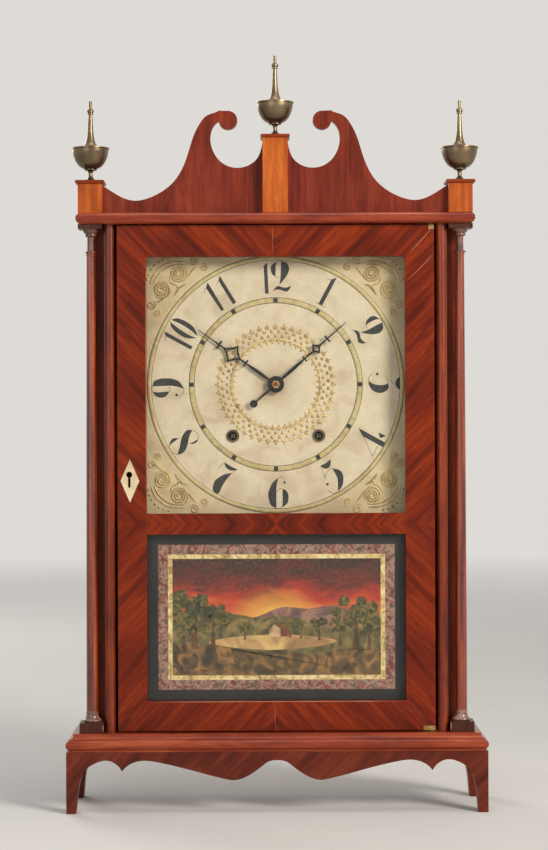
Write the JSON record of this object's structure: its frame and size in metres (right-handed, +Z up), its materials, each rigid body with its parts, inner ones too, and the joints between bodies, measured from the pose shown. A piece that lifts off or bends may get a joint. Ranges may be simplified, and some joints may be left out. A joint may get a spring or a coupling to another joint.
{
  "type": "pillar and scroll clock",
  "caption": "Shelf clock: mahogany case with slim pillars, scrolled top, urn finials, painted dial, glazed door with painted tablet, wooden movement, bracket feet.",
  "frame": {"origin": "bottom centre of the bounding box, on the surface that the feet stand on, midway across the width and the depth", "axes": "+X to the right as seen from the front, +Y to the back, +Z up; the dial faces -Y"},
  "size_m": [0.445, 0.115, 0.8004],
  "materials": {
    "mahogany": "worn satin varnish, reddish brown",
    "light_mahogany": "worn satin varnish, orange brown",
    "pine": "planed, unfinished",
    "painted_board": "aged cream paint",
    "oak_plate": "planed and waxed",
    "cherry_wheel": "turned and waxed",
    "brass": "dull antique",
    "steel_wire": "drawn wire",
    "iron": "dark, as cast",
    "black_iron": "black, satin",
    "bone": "aged ivory colour",
    "clear_glass": "old clear sheet",
    "painted_glass": "painted on the back, glossy front",
    "cord": "twisted cord"
  },
  "bodies": {
    "case": {"base_board": "mahogany", "base_moulding": "mahogany", "front_skirt": "mahogany", "side_skirts": "mahogany", "case_sides": "mahogany", "bead_strips": "mahogany", "backboard": "pine", "cornice": "mahogany", "pillars": "mahogany", "pillar_blocks": "light_mahogany", "top_plinths": "light_mahogany", "plinth_caps": "light_mahogany", "scroll_left": "mahogany", "scroll_right": "mahogany", "finials": "brass", "case_hinge_plates": "brass", "dial": "painted_board", "dial_fittings": "brass", "dial_cleats": "pine", "bell": "brass", "front_plate": "oak_plate", "back_plate": "oak_plate", "plate_pillars": "oak_plate", "movement_rails": "pine", "pulley_brackets": "pine", "cords": "cord", "time_cord_fall": "cord", "strike_cord_fall": "cord"},
    "door": {"door_rails": "mahogany", "door_stiles": "mahogany", "escutcheon": "bone", "lock_case": "iron", "door_hinge_leaves": "brass", "dial_glass": "clear_glass", "tablet_glass": "painted_glass"},
    "bolt": {"lock_bolt": "iron"},
    "left_button": {"turn_button_left": "pine"},
    "right_button": {"turn_button_right": "pine"},
    "minute_train": {"minute_hand": "black_iron", "centre_arbor": "cherry_wheel"},
    "hour_train": {"hour_hand": "black_iron", "hour_wheel": "cherry_wheel"},
    "motion_train": {"motion_wheel": "cherry_wheel"},
    "time_great_train": {"time_great_wheel": "cherry_wheel"},
    "third_train": {"third_wheel": "cherry_wheel"},
    "escape_train": {"escape_wheel": "brass"},
    "verge_body": {"verge": "steel_wire"},
    "pendulum_body": {"pendulum": "brass"},
    "time_weight_body": {"time_weight": "iron"},
    "strike_weight_body": {"strike_weight": "iron"},
    "time_drum_body": {"time_drum": "cherry_wheel"},
    "strike_drum_body": {"strike_drum": "cherry_wheel"},
    "time_pulley_body": {"time_pulley": "cherry_wheel"},
    "strike_pulley_body": {"strike_pulley": "cherry_wheel"},
    "pin_train": {"pin_wheel": "cherry_wheel"},
    "strike_great_train": {"strike_great_wheel": "cherry_wheel"},
    "strike_third_train": {"strike_third_wheel": "cherry_wheel"},
    "fly_body": {"fly": "cherry_wheel"},
    "count_train": {"count_wheel": "cherry_wheel"},
    "hammer_body": {"hammer": "steel_wire"}
  },
  "joints": [
    {"name": "door_hinge", "type": "hinge", "parent": "case", "child": "door", "pos_m": [0.1645, -0.036, 0.35], "axis": [0, 0, 1], "range_deg": [0, 120]},
    {"name": "lock_bolt_slide", "type": "slide", "parent": "door", "child": "bolt", "axis": [-1, 0, 0], "range_m": [0, 0.006]},
    {"name": "minute_turn", "type": "hinge", "parent": "case", "child": "minute_train", "pos_m": [0, 0, 0.4513], "axis": [0, 1, 0], "continuous": true},
    {"name": "hour_turn", "type": "hinge", "parent": "case", "child": "hour_train", "pos_m": [0, 0, 0.4513], "axis": [0, 1, 0], "continuous": true},
    {"name": "motion_turn", "type": "hinge", "parent": "case", "child": "motion_train", "pos_m": [-0.02598, 0, 0.4663], "axis": [0, 1, 0], "continuous": true},
    {"name": "time_great_turn", "type": "hinge", "parent": "case", "child": "time_great_train", "pos_m": [0.046, 0, 0.3964], "axis": [0, 1, 0], "continuous": true},
    {"name": "third_turn", "type": "hinge", "parent": "case", "child": "third_train", "pos_m": [-0.00916, 0, 0.49434], "axis": [0, 1, 0], "continuous": true},
    {"name": "escape_turn", "type": "hinge", "parent": "case", "child": "escape_train", "pos_m": [0.032, 0, 0.486], "axis": [0, 1, 0], "continuous": true},
    {"name": "pendulum_swing", "type": "hinge", "parent": "case", "child": "pendulum_body", "pos_m": [0.032, -0.004, 0.52], "axis": [0, 1, 0], "range_deg": [-3.5, 3.5]},
    {"name": "verge_rock", "type": "hinge", "parent": "case", "child": "verge_body", "pos_m": [0.032, 0, 0.52], "axis": [0, 1, 0], "range_deg": [-3.6, 3.6]},
    {"name": "time_weight_slide", "type": "slide", "parent": "case", "child": "time_weight_body", "axis": [0, 0, 1], "range_m": [0, 0.33], "deforming": ["time_cord_fall"]},
    {"name": "time_drum_turn", "type": "hinge", "parent": "case", "child": "time_drum_body", "pos_m": [0.046, 0, 0.3964], "axis": [0, 1, 0], "continuous": true},
    {"name": "time_pulley_turn", "type": "hinge", "parent": "case", "child": "time_pulley_body", "pos_m": [0.144, 0, 0.5979], "axis": [0, 1, 0], "continuous": true},
    {"name": "strike_weight_slide", "type": "slide", "parent": "case", "child": "strike_weight_body", "axis": [0, 0, 1], "range_m": [0, 0.33], "deforming": ["strike_cord_fall"]},
    {"name": "strike_drum_turn", "type": "hinge", "parent": "case", "child": "strike_drum_body", "pos_m": [-0.046, 0, 0.3964], "axis": [0, 1, 0], "continuous": true},
    {"name": "strike_pulley_turn", "type": "hinge", "parent": "case", "child": "strike_pulley_body", "pos_m": [-0.144, 0, 0.5979], "axis": [0, 1, 0], "continuous": true},
    {"name": "strike_turn", "type": "hinge", "parent": "case", "child": "pin_train", "pos_m": [-0.06612, 0, 0.45229], "axis": [0, 1, 0], "continuous": true},
    {"name": "strike_great_turn", "type": "hinge", "parent": "case", "child": "strike_great_train", "pos_m": [-0.046, 0, 0.3964], "axis": [0, 1, 0], "continuous": true},
    {"name": "strike_third_turn", "type": "hinge", "parent": "case", "child": "strike_third_train", "pos_m": [-0.07261, 0, 0.48912], "axis": [0, 1, 0], "continuous": true},
    {"name": "fly_turn", "type": "hinge", "parent": "case", "child": "fly_body", "pos_m": [-0.05661, 0, 0.51683], "axis": [0, 1, 0], "continuous": true},
    {"name": "count_turn", "type": "hinge", "parent": "case", "child": "count_train", "pos_m": [-0.08049, 0, 0.49175], "axis": [0, 1, 0], "continuous": true},
    {"name": "hammer_lift", "type": "hinge", "parent": "case", "child": "hammer_body", "pos_m": [-0.09613, 0, 0.42011], "axis": [0, 1, 0], "range_deg": [0, 12], "stiffness_Nm_per_rad": 0.03, "springref_deg": -22.92},
    {"name": "left_button_turn", "type": "hinge", "parent": "case", "child": "left_button", "pos_m": [-0.157, 0, 0.4513], "axis": [0, 1, 0], "range_deg": [0, 90]},
    {"name": "right_button_turn", "type": "hinge", "parent": "case", "child": "right_button", "pos_m": [0.157, 0, 0.4513], "axis": [0, 1, 0], "range_deg": [0, 90]}
  ],
  "couplings": [
    {"joint": "hour_turn", "follows": "minute_turn", "ratio": 0.083333},
    {"joint": "motion_turn", "follows": "minute_turn", "ratio": -0.33333},
    {"joint": "time_great_turn", "follows": "minute_turn", "ratio": -0.22222},
    {"joint": "third_turn", "follows": "minute_turn", "ratio": -9},
    {"joint": "escape_turn", "follows": "minute_turn", "ratio": 85.5},
    {"joint": "verge_rock", "follows": "pendulum_swing", "ratio": 1},
    {"joint": "time_drum_turn", "follows": "time_weight_slide", "rad_per_m": 95.238},
    {"joint": "time_pulley_turn", "follows": "time_weight_slide", "rad_per_m": -100},
    {"joint": "strike_drum_turn", "follows": "strike_weight_slide", "rad_per_m": -95.238},
    {"joint": "strike_pulley_turn", "follows": "strike_weight_slide", "rad_per_m": 100},
    {"joint": "strike_great_turn", "follows": "strike_turn", "ratio": -0.22222},
    {"joint": "strike_third_turn", "follows": "strike_turn", "ratio": -7.5},
    {"joint": "fly_turn", "follows": "strike_turn", "ratio": 52.5},
    {"joint": "count_turn", "follows": "strike_turn", "ratio": -0.16667}
  ]
}
